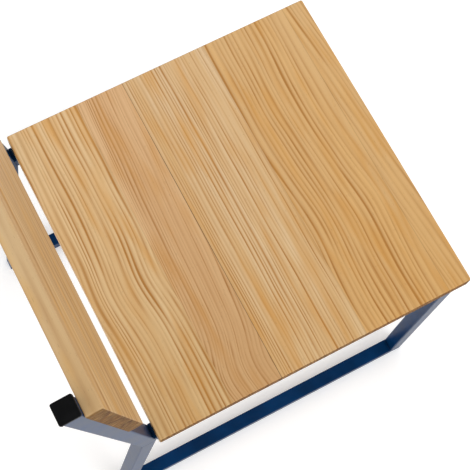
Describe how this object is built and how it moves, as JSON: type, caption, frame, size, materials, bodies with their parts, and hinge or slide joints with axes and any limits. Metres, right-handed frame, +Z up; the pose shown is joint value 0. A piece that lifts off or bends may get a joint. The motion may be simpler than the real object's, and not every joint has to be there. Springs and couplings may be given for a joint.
{
  "type": "side chair",
  "caption": "armless side chair with a flat square solid pine seat and a low pine back board on a navy powder-coated frame of square steel tube with floor runners",
  "frame": {"origin": "on the floor, under the centre of the chair's bounding box", "axes": "the chair faces -Y, so +Y is the backrest side; +X is the sitter's left; +Z is up. The chair is mirror-symmetric about the plane X = 0"},
  "size_m": [0.43, 0.5234, 0.8418],
  "materials": {
    "pine_light": "solid pine with long darker growth rings, clear satin lacquer",
    "pine_amber": "solid pine of a warmer, more orange stave, clear satin lacquer",
    "navy_powder_coat": "smooth semi-gloss navy powder coat on mild steel",
    "black_plastic": "moulded black polyethylene, fine matt grain",
    "zinc_plate": "bright zinc-plated steel"
  },
  "bodies": {
    "root": {"seat_stave_1": "pine_light", "seat_stave_2": "pine_light", "seat_stave_3": "pine_light", "seat_stave_4": "pine_amber", "seat_stave_5": "pine_light", "back_stave_1": "pine_light", "back_stave_2": "pine_light", "back_stave_3": "pine_light", "right_runner": "navy_powder_coat", "left_runner": "navy_powder_coat", "right_front_leg": "navy_powder_coat", "left_front_leg": "navy_powder_coat", "right_seat_rail": "navy_powder_coat", "left_seat_rail": "navy_powder_coat", "right_rear_leg": "navy_powder_coat", "left_rear_leg": "navy_powder_coat", "right_upright": "navy_powder_coat", "left_upright": "navy_powder_coat", "front_cross_rail": "navy_powder_coat", "rear_cross_rail": "navy_powder_coat", "right_end_cap": "black_plastic", "left_end_cap": "black_plastic", "weld_beads": "navy_powder_coat", "seat_screws": "zinc_plate", "back_screws": "zinc_plate"}
  },
  "joints": []
}
